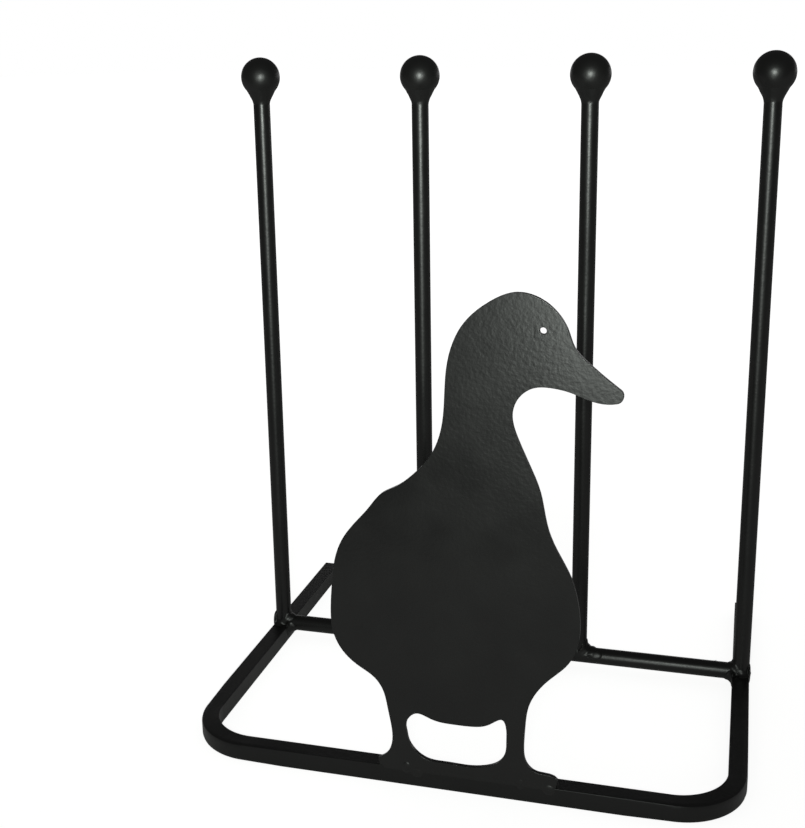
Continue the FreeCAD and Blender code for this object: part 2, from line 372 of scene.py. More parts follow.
# ---- weld beads
@dataclass(frozen=True)
class Stop:
    """One stop of the torch: its place in a corner, the bead's run, both walls' normals, its size."""

    place: Vector
    run: Vector
    wall: Vector
    ground: Vector
    size: float = 1.0


def lay_egg(shape: Shape, lie: Matrix, radii: Radii) -> None:
    """Add an egg that lies as a matrix says, with the given radii along its axes."""
    bmesh.ops.create_icosphere(shape, subdivisions=3, radius=1, matrix=lie @ Matrix.Diagonal((*radii, 1)))


def lay_pool(shape: Shape, place: Vector, run: Vector, face: Vector, radii: Radii) -> None:
    """Add one pool of weld metal, an egg that lies along the bead's run.

    Args:
        shape: mesh that gets the pool.
        place: middle of the pool.
        run: the way the torch goes.
        face: the way the pool's face points.
        radii: half length along the run, half width across it, and thickness towards its face.
    """
    across = face.cross(run).normalized()
    axes = Matrix((across.cross(face), across, face)).transposed().to_4x4()
    lay_egg(shape, Matrix.Translation(place) @ axes, radii)


@dataclass(frozen=True)
class Bead:
    """Section of a bead laid as a row of overlapping pools, with a flatter toe on each wall.

    Where the two walls lie nearly in one plane there is no corner to fill, and the bead gets lower.

    Args:
        spread: half width of a pool across the corner.
        height: how thick a pool is above its middle.
        lift: how far the pool's middle stands out of the corner.
        length: half length of a pool along the run.
        toe_reach: distance from the corner to the middle of a toe.
        toe_spread: half width of a toe.
        toe_height: thickness of a toe.
        flat_height: share of the height that is left where there is no corner.
        unevenness: how much the pools differ in size, either way.
    """

    spread: float
    height: float
    lift: float
    length: float
    toe_reach: float
    toe_spread: float
    toe_height: float
    flat_height: float = 0.3
    unevenness: float = 0.05

    def lay(self, shape: Shape, stops: Iterable[Stop], dice: random.Random) -> None:
        """Lay one pool and two toes at each stop.

        Args:
            shape: mesh that gets the pools.
            stops: the torch's stops, in order.
            dice: source of the small unevenness of a hand-laid bead.
        """
        for stop in stops:
            run = stop.run if stop.wall.cross(stop.run).dot(stop.ground) > -MM else -stop.run
            size = stop.size * dice.uniform(1 - self.unevenness, 1 + self.unevenness)
            corner = min(1.0, 1 - stop.wall.dot(stop.ground))
            rise = size * (self.flat_height + (1 - self.flat_height) * corner)
            face = (stop.wall + stop.ground).normalized()
            lay_pool(shape, stop.place + face * self.lift * rise, run, face,
                     (self.length, self.spread * size, self.height * rise))
            for normal, way in ((stop.wall, stop.wall.cross(run)), (stop.ground, run.cross(stop.ground))):
                toe = stop.place + way.normalized() * self.toe_reach * size * corner
                lay_pool(shape, toe, run, normal,
                         (self.length, self.toe_spread * size, self.toe_height * rise))


def fuse(shape: Shape, grain: float, strokes: int) -> Shape:
    """Fuse overlapping lumps into one closed skin and soften it.

    Args:
        shape: mesh with the lumps, which is freed.
        grain: size of the new faces.
        strokes: how many times the skin is smoothed.

    Returns:
        A new mesh of the skin.
    """
    lumps = mesh_object("lumps", shape)
    mesh = lumps.data
    skin = lumps.modifiers.new("skin", "REMESH")
    skin.mode = "VOXEL"
    skin.voxel_size = grain
    fused = bmesh.new()
    fused.from_object(lumps, bpy.context.evaluated_depsgraph_get())
    bpy.data.objects.remove(lumps)
    bpy.data.meshes.remove(mesh)
    for _ in range(strokes):
        bmesh.ops.smooth_vert(fused, verts=fused.verts, factor=0.5,
                              use_axis_x=True, use_axis_y=True, use_axis_z=True)
    return fused


def saddle_stops(centre: Vector, post_radius: float, bar_radius: float, count: int,
                 flat_side: int = 0, flush_size: float = 0.4, flush_from: float = 0.8) -> list[Stop]:
    """Stops of the torch round a post's foot on a round bar that runs along X.

    Args:
        centre: where the post's axis meets the bar's axis.
        post_radius: radius of the post.
        bar_radius: radius of the bar under it.
        count: number of stops in the full circle.
        flat_side: 0 for a bar on both sides; -1 or 1 if on that side in X the post stands on a flat
            face level with the bar's axis, whose outer edge is flush with the post.
        flush_size: size of the bead where it only clings to that edge.
        flush_from: share of the post's radius, towards that edge, past which the bead has that size.

    Returns:
        The stops, in a closed circle.
    """
    stops = []
    for step in range(count):
        turn = 2 * math.pi * step / count
        out = Vector((math.cos(turn), math.sin(turn), 0))
        run = Vector((-math.sin(turn), math.cos(turn), 0))
        outward = out.x * flat_side
        if outward > 0:
            climb, ground = 0.0, UP.copy()
            size = 1 + (flush_size - 1) * min(1, outward / flush_from) ** 2
        else:
            climb = bar_radius * abs(out.x)
            ground = Vector((0, out.y, abs(out.x)))
            run.z = -math.copysign(1, out.x) * out.y * bar_radius / post_radius
            size = 1.0
        place = centre + out * post_radius + UP * climb
        stops.append(Stop(place, run.normalized(), out, ground.normalized(), size))
    return stops


def bar_end_stops(centre: Vector, radius: float, inward: int, count: int, lead: float = 0.8,
                  lead_size: float = 0.5, low_size: float = 0.58) -> list[Stop]:
    """Stops of the torch round the lower half of the crossbar's end.

    Args:
        centre: where the crossbar's axis meets the rail's inner face.
        radius: radius of the crossbar.
        inward: -1 or 1, the way in X from the rail to the rack's middle.
        count: number of stops from side to side.
        lead: turn in radians over which the bead grows from its start, and shrinks to its end.
        lead_size: size of the bead at its start and its end.
        low_size: size of the bead at the bottom.

    Returns:
        The stops, from the front round the bottom to the back.
    """
    stops = []
    for step in range(count):
        turn = math.pi * step / (count - 1)
        out = Vector((0, -math.cos(turn), -math.sin(turn)))
        run = Vector((0, math.sin(turn), -math.cos(turn)))
        grown = min(1.0, min(turn, math.pi - turn) / lead)
        drawn_in = (1 - low_size) * math.sin(turn) ** 2
        size = lead_size + (1 - lead_size) * grown - drawn_in * grown
        stops.append(Stop(centre + out * radius, run, out, ALONG_X * inward, size))
    return stops


def straight_stops(start: Vector, end: Vector, wall: Vector, ground: Vector, pitch: float,
                   end_size: float = 0.8) -> list[Stop]:
    """Stops of the torch along a straight corner.

    Args:
        start: first stop.
        end: last stop.
        wall: normal of one wall of the corner.
        ground: normal of the other.
        pitch: distance between stops.
        end_size: size of the bead at its first and last stop.

    Returns:
        The stops, smaller at both ends where the arc starts and stops.
    """
    run = end - start
    count = max(2, round(run.length / pitch))
    stops = []
    for step in range(count + 1):
        size = 1.0 if 0 < step < count else end_size
        stops.append(Stop(start + run * step / count, run.normalized(), wall, ground, size))
    return stops


# ---- sub-assemblies
class SubAssembly:
    """A group of pieces that is made and dressed together.

    Args:
        coats: each piece's coats, in the order of its faces' material numbers.
    """

    coats: ClassVar[tuple[tuple[PowderCoat, ...], ...]] = ()

    def build(self) -> list[Piece]:
        """Make the pieces."""
        raise NotImplementedError

    def dress(self, pieces: list[Piece]) -> None:
        """Coat the pieces.

        Args:
            pieces: the pieces, in the order that build returns them.
        """
        for piece, coats in zip(pieces, self.coats):
            piece.data.materials.clear()
            for coat in coats:
                piece.data.materials.append(coat.material())


@dataclass
class BaseFrame(SubAssembly):
    """Square bar bent cold into a U: two side rails and the front rail.

    In a cold bend the steel on the inside of the curve swells and the outside thins, so the top face
    rises a little towards the inner edge there.

    Args:
        bend_edge_radius: radius of the edges in a bend, which goes back to edge_radius past it.
        bend_lead: distance past the bend over which it does.
        swell: how far the top's inner edge rises.
    """

    coats = ((BAR_COAT, END_COAT),)

    bend_radius: float = 45 * MM
    edge_radius: float = 0.45 * MM
    bend_edge_radius: float = 1.9 * MM
    bend_lead: float = 30 * MM
    saw_chamfer: float = 0.35 * MM
    swell: float = 0.35 * MM
    chamfer_steps: int = 2
    bend_steps: int = 36
    edge_steps: int = 4
    flat_cuts: int = 6
    run_pitch: float = 30 * MM

    def build(self) -> list[Piece]:
        """Sweep the bar's section round the U and saw its ends.

        Returns:
            The bar.
        """
        low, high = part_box("base_frame")
        half = (high.z - low.z) / 2
        level = low.z + half
        shape = bmesh.new()
        start = Vector((low.x + half, high.y, level))
        turned = Matrix.Rotation(math.radians(90), 4, "X") @ Matrix.Rotation(math.radians(45), 4, "Z")
        bmesh.ops.create_circle(shape, cap_ends=True, segments=4, radius=half * math.sqrt(2),
                                matrix=Matrix.Translation(start) @ turned)
        round_off(shape, shape.verts[:], self.edge_radius, self.edge_steps, "VERTICES")
        bmesh.ops.delete(shape, geom=shape.faces[:], context="FACES_ONLY")
        flats = [edge for edge in shape.edges if edge.calc_length() > half]
        bmesh.ops.subdivide_edges(shape, edges=flats, cuts=self.flat_cuts)

        first = shape.verts[:] + shape.edges[:]
        side_run = Vector((0, low.y + self.bend_radius - high.y, 0))
        front_run = Vector((high.x - low.x - 2 * self.bend_radius, 0, 0))
        left_bend = Vector((low.x + self.bend_radius, low.y + self.bend_radius, level))
        right_bend = Vector((high.x - self.bend_radius, low.y + self.bend_radius, level))
        ring = extrude_run(shape, first, side_run, self.run_pitch)
        ring = self.bend(shape, ring, left_bend)
        ring = extrude_run(shape, ring, front_run, self.run_pitch)
        ring = self.bend(shape, ring, right_bend)
        ring = extrude_run(shape, ring, -side_run, self.run_pitch)

        cut_faces = []
        for rim in (first, ring):
            cut_faces += bmesh.ops.edgeloop_fill(shape, edges=ring_edges(rim))["faces"]
        for face in cut_faces:
            face.material_index = 1
        bmesh.ops.recalc_face_normals(shape, faces=shape.faces)
        for centre in (left_bend, right_bend):
            self.upset(shape, centre, half)
            self.stretch_edges(shape, centre, half)
        rims = [edge for face in cut_faces for edge in face.edges]
        round_off(shape, rims, self.saw_chamfer, self.chamfer_steps)
        bar = make_piece("bent_base_bar", shape, ["base_frame"])
        even_shading(bar)
        return [bar]

    def bend(self, shape: Shape, ring: list, centre: Vector) -> list:
        """Carry the bar's section a quarter turn round the centre of a bend."""
        spun = bmesh.ops.spin(shape, geom=ring, cent=centre, axis=UP, angle=math.radians(90),
                              steps=self.bend_steps, use_merge=False, use_duplicate=False)
        return [part for part in spun["geom_last"] if not isinstance(part, bmesh.types.BMFace)]

    def upset(self, shape: Shape, centre: Vector, half: float) -> None:
        """Raise the top face towards the inside of a bend, where cold bending swells the bar.

        Args:
            shape: mesh of the bar.
            centre: centre of the bend, at the bar's mid height.
            half: half the bar's side.
        """
        side = math.copysign(1, centre.x)
        middle = self.bend_radius - half
        for vert in shape.verts:
            arm = vert.co - centre
            if arm.x * side < 0 or arm.y > 0 or arm.z < 0:
                continue
            turn = math.atan2(-arm.y, arm.x * side)
            inwards = (middle - arm.xy.length) / half
            vert.co.z += self.swell * inwards * math.sin(2 * turn) * arm.z / half

    def stretch_edges(self, shape: Shape, centre: Vector, half: float) -> None:
        """Round the outer edges through a bend, where the steel is stretched over the bending die.

        Args:
            shape: mesh of the bar.
            centre: centre of the bend, at the bar's mid height.
            half: half the bar's side.
        """
        side = math.copysign(1, centre.x)
        middle = self.bend_radius - half
        for vert in shape.verts:
            arm = vert.co - centre
            ahead = max(0.0, -arm.x * side, arm.y)
            if ahead > self.bend_lead:
                continue
            across = Vector((max(0.0, arm.x * side), min(0.0, arm.y), 0))
            reach = across.length - middle
            share = 1 - ahead / self.bend_lead
            radius = self.bend_edge_radius * smooth_share(share)
            past = Vector((reach, abs(arm.z))) - Vector((half - radius, half - radius))
            if min(past) <= 0:
                continue
            pull = past.normalized() * radius - past
            out = across.normalized()
            out.x *= side
            vert.co += out * pull.x + UP * pull.y * math.copysign(1, arm.z)


@dataclass
class Crossbar(SubAssembly):
    """Round bar between the side rails, which carries the two inner posts."""

    coats = ((BAR_COAT,),)

    sides: int = 64
    pitch: float = 20 * MM

    def build(self) -> list[Piece]:
        """Draw the bar.

        Returns:
            The bar.
        """
        low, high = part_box("crossbar")
        radius = (high.y - low.y) / 2
        middle = (low + high) / 2
        shape = bmesh.new()
        round_bar(shape, Vector((low.x, middle.y, middle.z)), Vector((high.x, middle.y, middle.z)),
                  radius, self.sides, self.pitch)
        return [make_piece("crossbar_round_bar", shape, ["crossbar"])]


@dataclass
class BootPost(SubAssembly):
    """Upright round bar with a forged steel ball welded on its top.

    The bead under the ball is laid with the post turning in a chuck, so it is an even hollow cone that
    runs out in both, with low waves where the metal froze.

    Args:
        place: the post's name in the frame, such as left_outer.
        neck: the curve of the bead's section, as its start, its two handles and its end, each one a
            radius and a distance below the ball's centre.
        neck_points: number of points along that curve.
        neck_wave: height of the waves on the bead.
        wave_spacing: distance between the waves.
    """

    coats = ((BAR_COAT,), (BALL_COAT,), (WELD_COAT,))

    place: str
    sides: int = 64
    pitch: float = 20 * MM
    ball_facets: int = 96
    dent: float = 0.05 * MM
    dent_spacing: float = 7 * MM
    neck: tuple[tuple[float, float], ...] = (
        (10.4 * MM, 9.2 * MM), (5.6 * MM, 18.2 * MM), (6.3 * MM, 17.4 * MM), (5.9 * MM, 20.0 * MM),
    )
    neck_points: int = 16
    neck_wave: float = 0.16 * MM
    wave_spacing: float = 2.4 * MM

    def build(self) -> list[Piece]:
        """Make the post, its ball and the bead between them.

        Returns:
            The post, the ball and the neck bead.
        """
        low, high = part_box("post_" + self.place)
        ball_low, ball_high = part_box("ball_" + self.place)
        crossbar_low, crossbar_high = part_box("crossbar")
        axis = (low + high).xy / 2
        ball_radius = (ball_high.x - ball_low.x) / 2
        centre = Vector((*axis, ball_high.z - ball_radius))
        foot = Vector((*axis, (crossbar_low.z + crossbar_high.z) / 2))
        shape = bmesh.new()
        round_bar(shape, foot, Vector((*axis, high.z)), (high.x - low.x) / 2, self.sides, self.pitch)
        post = make_piece("round_post_" + self.place, shape, ["post_" + self.place])
        return [post, self.ball(centre, ball_radius, ball_low.z), self.neck_bead(centre)]

    def ball(self, centre: Vector, radius: float, seat: float) -> Piece:
        """Turn a ball, with a spot face where it sits and the faint dents of forging.

        Args:
            centre: centre of the ball.
            radius: radius of the ball.
            seat: height of the spot face.

        Returns:
            The ball.
        """
        shape = bmesh.new()
        bmesh.ops.create_uvsphere(shape, u_segments=self.ball_facets, v_segments=self.ball_facets // 2,
                                  radius=radius, matrix=Matrix.Translation(centre))
        for vert in shape.verts:
            out = (vert.co - centre).normalized()
            vert.co += out * self.dent * noise.noise(vert.co / self.dent_spacing)
        cut = bmesh.ops.bisect_plane(shape, geom=shape.verts[:] + shape.edges[:] + shape.faces[:],
                                     plane_co=Vector((0, 0, seat)), plane_no=UP, clear_inner=True)
        bmesh.ops.edgeloop_fill(shape, edges=ring_edges(cut["geom_cut"]))
        bmesh.ops.recalc_face_normals(shape, faces=shape.faces)
        return make_piece("steel_ball_" + self.place, shape, ["ball_" + self.place])

    def neck_bead(self, centre: Vector) -> Piece:
        """Spin the bead's section round the post and leave the waves of the weld in it.

        Args:
            centre: centre of the ball.

        Returns:
            The bead.
        """
        shape = bmesh.new()
        knots = [Vector((radius, 0, -drop)) for radius, drop in self.neck]
        curve = geometry.interpolate_bezier(*knots, self.neck_points)
        section = [knots[0].project(UP), *curve, knots[-1].project(UP)]
        points = [shape.verts.new(centre + point) for point in section]
        lines = [shape.edges.new(pair) for pair in zip(points, points[1:])]
        bmesh.ops.spin(shape, geom=points + lines, cent=centre, axis=UP, angle=2 * math.pi,
                       steps=self.ball_facets, use_merge=True)
        bmesh.ops.remove_doubles(shape, verts=shape.verts, dist=MERGE)
        bmesh.ops.recalc_face_normals(shape, faces=shape.faces)
        for vert in shape.verts:
            out = Vector((vert.co.x - centre.x, vert.co.y - centre.y, 0)).normalized()
            vert.co += out * self.neck_wave * noise.noise(vert.co / self.wave_spacing)
        return make_piece("neck_bead_" + self.place, shape, ["neck_weld_" + self.place],
                          CURVED_TURN)


@dataclass(frozen=True)
class Dab:
    """A dab of more weld metal at one post's foot: its place from where the axes meet, and its lie."""

    post: str
    shift: Vector
    run: Vector
    face: Vector
    radii: Radii


@dataclass
class FrameWelds(SubAssembly):
    """Hand-laid beads where the posts, the crossbar and the side rails meet.

    Each joint's pools are fused with stubs of the bars that lie just under the bars' skin, and then
    smoothed, so that the beads run out into the bars in hollow fillets. Dabs of more weld metal cover
    the outer sides of the outer posts' feet, and one lies on the crossbar beside the right inner post.

    Args:
        buried: how far the stubs lie under the bars' skin.
        spatter_near: share of spatter_reach next to the bead that stays free.
        spatter_turn: farthest that spatter lies from the crossbar's top, in radians.
    """

    coats = ((WELD_COAT,),) * 4

    foot: Bead = Bead(4.4 * MM, 2.3 * MM, 0.8 * MM, 2.8 * MM, 4.2 * MM, 2.8 * MM, 0.85 * MM)
    rail_foot: Bead = Bead(2.8 * MM, 1.7 * MM, 0.4 * MM, 2.4 * MM, 2.2 * MM, 1.7 * MM, 0.8 * MM)
    bar_end: Bead = Bead(5.2 * MM, 2.8 * MM, 1.0 * MM, 3.2 * MM, 4.6 * MM, 3.0 * MM, 0.9 * MM)
    dabs: tuple[Dab, ...] = (
        Dab("left_outer", Vector((-6.0, -1.5, 1.0)) * MM, ALONG_Y, -ALONG_X,
            (4.6 * MM, 8.5 * MM, 1.7 * MM)),
        Dab("right_outer", Vector((6.0, -1.5, 0.0)) * MM, ALONG_Y, ALONG_X,
            (4.6 * MM, 8.0 * MM, 1.0 * MM)),
        Dab("right_inner", Vector((13.2, -4.9, 2.85)) * MM, ALONG_X, Vector((0, -0.866, 0.5)),
            (5.6 * MM, 3.6 * MM, 1.35 * MM)),
    )
    foot_stops: int = 26
    end_stops: int = 13
    buried: float = 0.25 * MM
    stub: float = 14 * MM
    stub_sides: int = 48
    stub_pitch: float = 2 * MM
    grain: float = 0.4 * MM
    strokes: int = 14
    spatter_count: int = 7
    spatter_near: float = 0.2
    spatter_reach: float = 9 * MM
    spatter_turn: float = 1.2
    spatter_radii: tuple[float, float] = (0.18 * MM, 0.40 * MM)
    seed: int = 12

    def build(self) -> list[Piece]:
        """Lay and fuse the beads of the four feet.

        Returns:
            The two inner foot beads, then the two joint beads.
        """
        bar_low, bar_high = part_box("crossbar")
        bar_radius = (bar_high.y - bar_low.y) / 2
        level = (bar_low.z + bar_high.z) / 2
        rail_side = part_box("base_frame")[1].z
        dice = random.Random(self.seed)
        pieces = []
        posts = (("left_inner", 0), ("right_inner", 0), ("left_outer", -1), ("right_outer", 1))
        for post, outward in posts:
            centre, radius = self.post_axis(post, level)
            foot = self.rail_foot if outward else self.foot
            shape = bmesh.new()
            foot.lay(shape, saddle_stops(centre, radius, bar_radius, self.foot_stops, outward), dice)
            for dab in self.dabs:
                if dab.post == post:
                    lay_pool(shape, centre + dab.shift, dab.run, dab.face, dab.radii)
            if outward:
                inward = -ALONG_X * outward
                face = centre + inward * rail_side / 2
                self.bar_end.lay(shape, bar_end_stops(face, bar_radius, -outward, self.end_stops), dice)
                self.bury(shape, centre, centre + inward * 2 * self.stub, bar_radius)
                self.bury_rail(shape, centre, rail_side)
            else:
                run = ALONG_X * self.stub
                self.bury(shape, centre - run, centre + run, bar_radius)
            self.bury(shape, centre, centre + UP * self.stub, radius)
            kind, side = "joint" if outward else "foot", post.split("_")[0]
            bead = self.fuse_joint(shape, centre, bar_radius, dice)
            pieces.append(make_piece(f"{kind}_bead_{side}", bead, [f"{kind}_weld_{side}"],
                                     FUSED_TURN))
        return pieces

    @staticmethod
    def post_axis(place: str, level: float) -> tuple[Vector, float]:
        """Return where a post's axis meets a level, and the post's radius."""
        low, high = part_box("post_" + place)
        return Vector((*(low + high).xy / 2, level)), (high.x - low.x) / 2

    def bury(self, shape: Shape, start: Vector, end: Vector, radius: float) -> None:
        """Draw a stub just under a round bar's skin."""
        round_bar(shape, start, end, radius - self.buried, self.stub_sides, self.stub_pitch)

    def bury_rail(self, shape: Shape, centre: Vector, side: float) -> None:
        """Draw a stub just under the skin of the square rail that runs along Y below an outer post."""
        thick = side - 2 * self.buried
        bmesh.ops.create_cube(shape, size=1, matrix=Matrix.LocRotScale(
            centre - UP * side / 2, None, Vector((thick, 2 * self.stub, thick))))

    def fuse_joint(self, shape: Shape, centre: Vector, bar_radius: float, dice: random.Random) -> Shape:
        """Fuse a joint's pools and spatter the crossbar beside it.

        Args:
            shape: mesh with the pools, which is freed.
            centre: where the post's axis meets the crossbar's axis.
            bar_radius: radius of the crossbar.
            dice: source of the spatter's places.

        Returns:
            Mesh of the joint's bead.
        """
        bead = fuse(shape, self.grain, self.strokes)
        inward = -math.copysign(1, centre.x)
        for _ in range(self.spatter_count):
            along = 2 * bar_radius + dice.uniform(self.spatter_near, 1) * self.spatter_reach
            turn = dice.uniform(-self.spatter_turn, self.spatter_turn)
            out = Vector((0, math.sin(turn), math.cos(turn)))
            place = centre + ALONG_X * inward * along + out * bar_radius
            bmesh.ops.create_icosphere(bead, subdivisions=2, radius=dice.uniform(*self.spatter_radii),
                                       matrix=Matrix.Translation(place))
        return bead


@dataclass
class DuckPlate(SubAssembly):
    """Duck cut from sheet by laser, with the coat rounding its edges.

    Args:
        facing: least share along Y in the normal of one of the sheet's two faces.
    """

    coats = ((PLATE_COAT, EDGE_COAT),)

    rounding: float = 0.3 * MM
    rounding_steps: int = 3
    facing: float = 0.5

    def build(self) -> list[Piece]:
        """Copy the cut sheet, merge its faces and round the edges between its faces and its cut.

        Returns:
            The plate.
        """
        shape = bmesh.new()
        shape.from_mesh(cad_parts["duck_plate"].data)
        bmesh.ops.remove_doubles(shape, verts=shape.verts, dist=MERGE)
        bmesh.ops.recalc_face_normals(shape, faces=shape.faces)
        rim = []
        for edge in shape.edges:
            ways = sorted(abs(face.normal.y) for face in edge.link_faces)
            if ways[0] < self.facing < ways[-1]:
                rim.append(edge)
        for face in shape.faces:
            face.material_index = 0 if abs(face.normal.y) > self.facing else 1
        round_off(shape, rim, self.rounding, self.rounding_steps, material=0)
        plate = make_piece("duck_sheet", shape, ["duck_plate"], CURVED_TURN)
        even_shading(plate)
        return [plate]


@dataclass(frozen=True)
class Lump:
    """A low lump left on the seam: where it lies across and above the seam, and its size."""

    across: float
    above: float
    width: float
    height: float
    proud: float


@dataclass
class PlateWelds(SubAssembly):
    """Welds between the duck's feet and the front rail.

    The front seam is welded, ground flush, filled and coated like the plate, so that only a few low
    lumps are left of it. Behind the feet are two short fillets.
    """

    coats = ((PLATE_COAT,), (WELD_COAT,))

    lumps: tuple[Lump, ...] = (
        Lump(-26.4 * MM, 0.6 * MM, 6.5 * MM, 8.0 * MM, 0.70 * MM),
        Lump(-19.5 * MM, -2.4 * MM, 8.0 * MM, 6.0 * MM, 0.40 * MM),
        Lump(47.5 * MM, -0.4 * MM, 4.5 * MM, 7.5 * MM, 0.40 * MM),
        Lump(65.5 * MM, -1.6 * MM, 8.0 * MM, 7.0 * MM, 0.60 * MM),
    )
    seam_width: float = 8.0 * MM
    seam_depth: float = 1.5 * MM
    seam_proud: float = 0.08 * MM
    seam_unevenness: float = 0.2
    seam_drop: float = 0.8 * MM
    seam_pitch: float = 1.6 * MM
    seam_inset: float = 4.0 * MM
    level_slack: float = 0.01 * MM
    back: Bead = Bead(2.6 * MM, 1.4 * MM, 0.5 * MM, 1.7 * MM, 1.8 * MM, 1.4 * MM, 0.7 * MM)
    back_length: float = 14 * MM
    back_pitch: float = 1.5 * MM
    grain: float = 0.3 * MM
    strokes: int = 8
    back_strokes: int = 2
    seed: int = 5

    def build(self) -> list[Piece]:
        """Fill the front seam and lay the two fillets behind it.

        Returns:
            The seam and the fillets.
        """
        dice = random.Random(self.seed)
        return [self.front_seam(dice), self.back_fillets(dice)]

    def front_seam(self, dice: random.Random) -> Piece:
        """Lay the flush seam and its lumps.

        Args:
            dice: source of the seam's small unevenness.

        Returns:
            The seam.
        """
        points = [vert.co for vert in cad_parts["duck_plate"].data.vertices]
        seam_level = min(point.z for point in points)
        feet = [point.x for point in points if point.z < seam_level + self.level_slack]
        front = min(point.y for point in points)
        left, right = min(feet) + self.seam_inset, max(feet) - self.seam_inset
        count = round((right - left) / self.seam_pitch)
        shape = bmesh.new()
        for step in range(count + 1):
            across = left + (right - left) * step / count
            proud = self.seam_proud * dice.uniform(1 - self.seam_unevenness, 1 + self.seam_unevenness)
            place = Vector((across, front + self.seam_depth - proud, seam_level - self.seam_drop))
            lay_egg(shape, Matrix.Translation(place),
                    (self.seam_inset, self.seam_depth, self.seam_width / 2))
        for lump in self.lumps:
            sunk = self.seam_depth - lump.proud
            cap = math.sqrt(1 - (sunk / self.seam_depth) ** 2)
            place = Vector((lump.across, front + sunk, seam_level + lump.above))
            lay_egg(shape, Matrix.Translation(place),
                    (lump.width / 2 / cap, self.seam_depth, lump.height / 2 / cap))
        seam = fuse(shape, self.grain, self.strokes)
        return make_piece("front_seam", seam, ["plate_front_tacks"], FUSED_TURN)

    def back_fillets(self, dice: random.Random) -> Piece:
        """Lay the short fillets behind the duck's two feet.

        Args:
            dice: source of the beads' small unevenness.

        Returns:
            The fillets.
        """
        low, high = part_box("plate_back_welds")
        shape = bmesh.new()
        for start in (low.x, high.x - self.back_length):
            first = Vector((start + self.back.length, low.y, low.z))
            last = first + ALONG_X * (self.back_length - 2 * self.back.length)
            self.back.lay(shape, straight_stops(first, last, ALONG_Y, UP, self.back_pitch), dice)
        fillets = fuse(shape, self.grain, self.back_strokes)
        return make_piece("back_fillets", fillets, ["plate_back_welds"], FUSED_TURN)


# ---- studio
@dataclass(frozen=True)
class Softbox:
    """A round softbox.

    Args:
        place: where it hangs, in the camera's own axes if it hangs on the camera.
        aim: the place that it faces.
        spread: width of its beam in degrees, below 180 for a box with a grid.
    """

    name: str
    place: Vector
    aim: Vector
    watts: float
    spread: float = 180
    radius: float = 0.07
    on_camera: bool = False


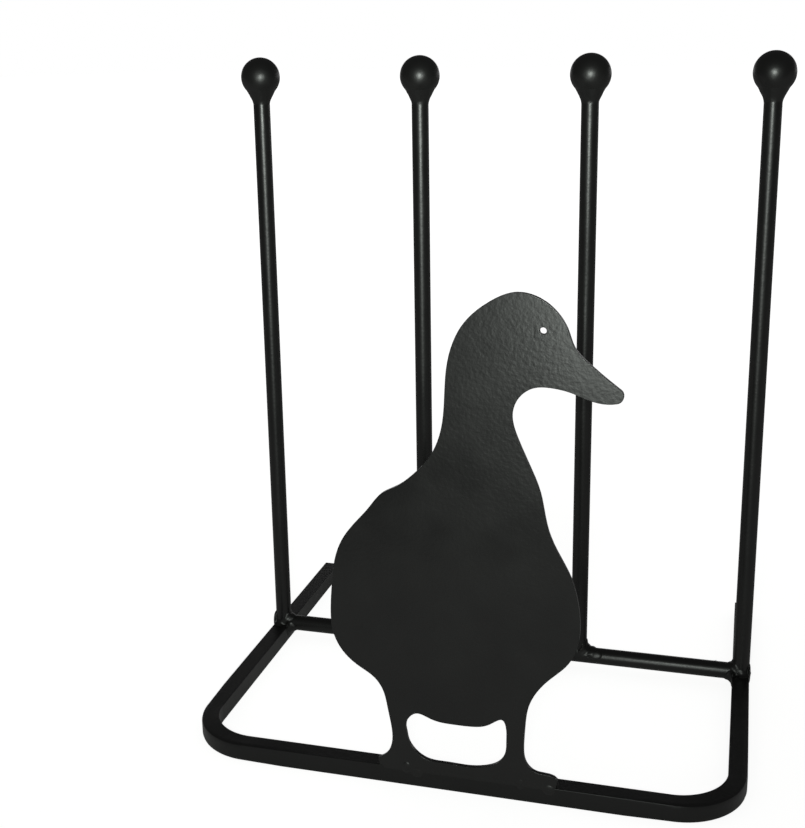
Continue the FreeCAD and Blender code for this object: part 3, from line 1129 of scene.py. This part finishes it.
@dataclass
class Studio:
    """A wide sheet of pale paper under the rack, a white wall behind it, soft light and the camera.

    Gloss mirrors the sheet only dimly, and the room on the camera's side is dim too, so that the front
    of the rack mirrors little but the two softboxes.

    Args:
        mirrored_share: share of the paper's glow that gloss mirrors, in front of the origin.
        mirrored_back: what is left of that share behind the rack, past mirrored_fall.
        wall_top: slopes upwards, as sines, between which the mirrored wall ends.
        wall_sides: how far back a direction points where that wall begins, and where it is full.
    """

    paper_colour: str = "#ABABA9"
    paper_size: float = 40.0
    paper_cells: int = 8
    paper_edge: float = -0.55
    glow_reach: tuple[float, float] = (0.3, 1.6)
    glow: tuple[float, float] = (0.88, 1.0)
    mirrored_share: float = 0.09
    mirrored_back: float = 0.40
    mirrored_fall: float = 0.15
    sky_light: float = 0.26
    dim_room: float = 0.06
    wall_top: tuple[float, float] = (0.06, 0.22)
    wall_sides: tuple[float, float] = (0.5, 0.85)
    camera_place: Vector = Vector((0.16644, -0.82014, 0.45501))
    camera_yaw: float = 15.327
    camera_pitch: float = 14.249
    camera_roll: float = -0.822
    camera_sensor: float = 36
    camera_lens: float = 53.224
    camera_shift: tuple[float, float] = (-0.01437, -0.05798)
    camera_clip: float = 0.01
    lamp_colour: str = "#F7FFF8"
    boxes: tuple[Softbox, ...] = (
        Softbox("high_softbox", Vector((-0.025, 0.0, 0.04)), Vector((-0.08, 0.03, 0.42)), watts=0.90,
                spread=70, on_camera=True),
        Softbox("low_softbox", Vector((0.06, -0.86, 0.17)), Vector((0.06, 0.0, 0.17)), watts=0.60),
    )

    def build(self) -> None:
        """Set up the paper, the world, the lamps, the camera and the view transform."""
        bpy.context.scene.view_settings.view_transform = "Standard"
        self.paper()
        self.world()
        camera = self.camera()
        for box in self.boxes:
            self.hang(box, camera)

    @staticmethod
    def gloss_rays(tree: Tree, path: bpy.types.Node) -> Socket:
        """Return a socket that is 1 for rays that gloss or glass sends out, and 0 for the rest."""
        glossy, clear = path.outputs["Is Glossy Ray"], path.outputs["Is Transmission Ray"]
        return calculate(tree, "MAXIMUM", glossy, clear)

    def paper(self) -> None:
        """Lay the sheet, whose glow makes it white behind the rack and leaves its shadows."""
        shape = bmesh.new()
        middle = Matrix.Translation((0, self.paper_edge + self.paper_size / 2, 0))
        bmesh.ops.create_grid(shape, x_segments=self.paper_cells, y_segments=self.paper_cells,
                              size=self.paper_size / 2, matrix=middle)
        sheet = mesh_object("studio_paper", shape)

        # Pale grey seamless paper, calendered matt: it scatters evenly and takes the rack's soft shadows.
        made = bpy.data.materials.new("pale_paper")
        made.cycles.emission_sampling = "NONE"
        tree = empty_tree(made)
        place = add_node(tree, "TexCoord").outputs["Object"]
        reach = add_node(tree, "VectorMath", {"operation": "LENGTH"}, links={0: place}).outputs["Value"]
        glow = remap(tree, reach, self.glow_reach, self.glow, gently=False)
        parts = add_node(tree, "SeparateXYZ", links={"Vector": place})
        shares = (self.mirrored_share, self.mirrored_share * self.mirrored_back)
        falling = remap(tree, parts.outputs["Y"], (0, self.mirrored_fall), shares)
        path = add_node(tree, "LightPath")
        mirrored = calculate(tree, "MULTIPLY", self.gloss_rays(tree, path), falling)
        seen = calculate(tree, "MAXIMUM", path.outputs["Is Camera Ray"], mirrored)
        strength = calculate(tree, "MULTIPLY", glow, seen)
        paper = add_node(tree, "BsdfDiffuse", None, {"Color": linear_colour(self.paper_colour)})
        light = add_node(tree, "Emission", links={"Strength": strength})
        both = add_node(tree, "AddShader",
                        links={0: paper.outputs["BSDF"], 1: light.outputs["Emission"]})
        add_node(tree, "OutputMaterial", links={"Surface": both.outputs["Shader"]})
        sheet.data.materials.append(made)

    def world(self) -> None:
        """Surround the rack: white for the camera, a wall behind for gloss, even light for the rest."""
        world = bpy.data.worlds.new("studio")
        bpy.context.scene.world = world
        world.cycles.sampling_method = "NONE"
        tree = empty_tree(world)
        way = add_node(tree, "TexCoord").outputs["Generated"]
        parts = add_node(tree, "SeparateXYZ", links={"Vector": way})
        height = remap(tree, parts.outputs["Z"], self.wall_top, (1, 0))
        behind = remap(tree, parts.outputs["Y"], self.wall_sides, (0, 1))
        wall = calculate(tree, "MULTIPLY", height, behind)
        room = remap(tree, wall, (0, 1), (self.dim_room, 1), gently=False)
        path = add_node(tree, "LightPath")
        unseen = add_node(tree, "Mix", None, {"A": self.sky_light},
                          {"Factor": self.gloss_rays(tree, path), "B": room})
        strength = add_node(tree, "Mix", None, {"B": 1.0},
                            {"Factor": path.outputs["Is Camera Ray"], "A": unseen.outputs["Result"]})
        light = add_node(tree, "Background", None, {"Color": linear_colour("#FFFFFF")},
                         {"Strength": strength.outputs["Result"]})
        add_node(tree, "OutputWorld", links={"Surface": light.outputs["Background"]})

    def camera(self) -> Matrix:
        """Set the camera.

        Returns:
            The camera's place and aim.
        """
        lens = bpy.data.cameras.new("camera")
        lens.sensor_width = self.camera_sensor
        lens.lens = self.camera_lens
        lens.shift_x, lens.shift_y = self.camera_shift
        lens.clip_start = self.camera_clip
        camera = into_scene("camera", lens)
        aim = (Matrix.Translation(self.camera_place)
               @ Matrix.Rotation(math.radians(self.camera_yaw), 4, "Z")
               @ Matrix.Rotation(math.radians(90 - self.camera_pitch), 4, "X")
               @ Matrix.Rotation(math.radians(self.camera_roll), 4, "Z"))
        camera.matrix_world = aim
        bpy.context.scene.camera = camera
        return aim

    def hang(self, box: Softbox, camera: Matrix) -> None:
        """Hang a softbox.

        Args:
            box: the softbox.
            camera: the camera's place and aim.
        """
        place = camera @ box.place if box.on_camera else box.place
        light = bpy.data.lights.new(box.name, "AREA")
        light.shape = "DISK"
        light.size = 2 * box.radius
        light.energy = box.watts
        light.color = linear_colour(self.lamp_colour)[:3]
        light.spread = math.radians(box.spread)
        lamp = into_scene(box.name, light)
        turned = (box.aim - place).to_track_quat("-Z", "Y").to_matrix().to_4x4()
        lamp.matrix_world = Matrix.Translation(place) @ turned
        lamp.visible_camera = False


def main() -> None:
    """Build and dress the rack, sub-assembly by sub-assembly, and set up the studio."""
    logging.basicConfig(level=logging.INFO, format="%(name)s: %(message)s")
    rack = [BaseFrame(), Crossbar()]
    rack += [BootPost(place) for place in ("left_outer", "left_inner", "right_inner", "right_outer")]
    rack += [FrameWelds(), DuckPlate(), PlateWelds()]
    for part in rack:
        pieces = part.build()
        part.dress(pieces)
        for piece in pieces:
            LOG.info("%s: %d faces", piece.name, len(piece.data.polygons))
    Studio().build()


if __name__ == "__main__":
    main()
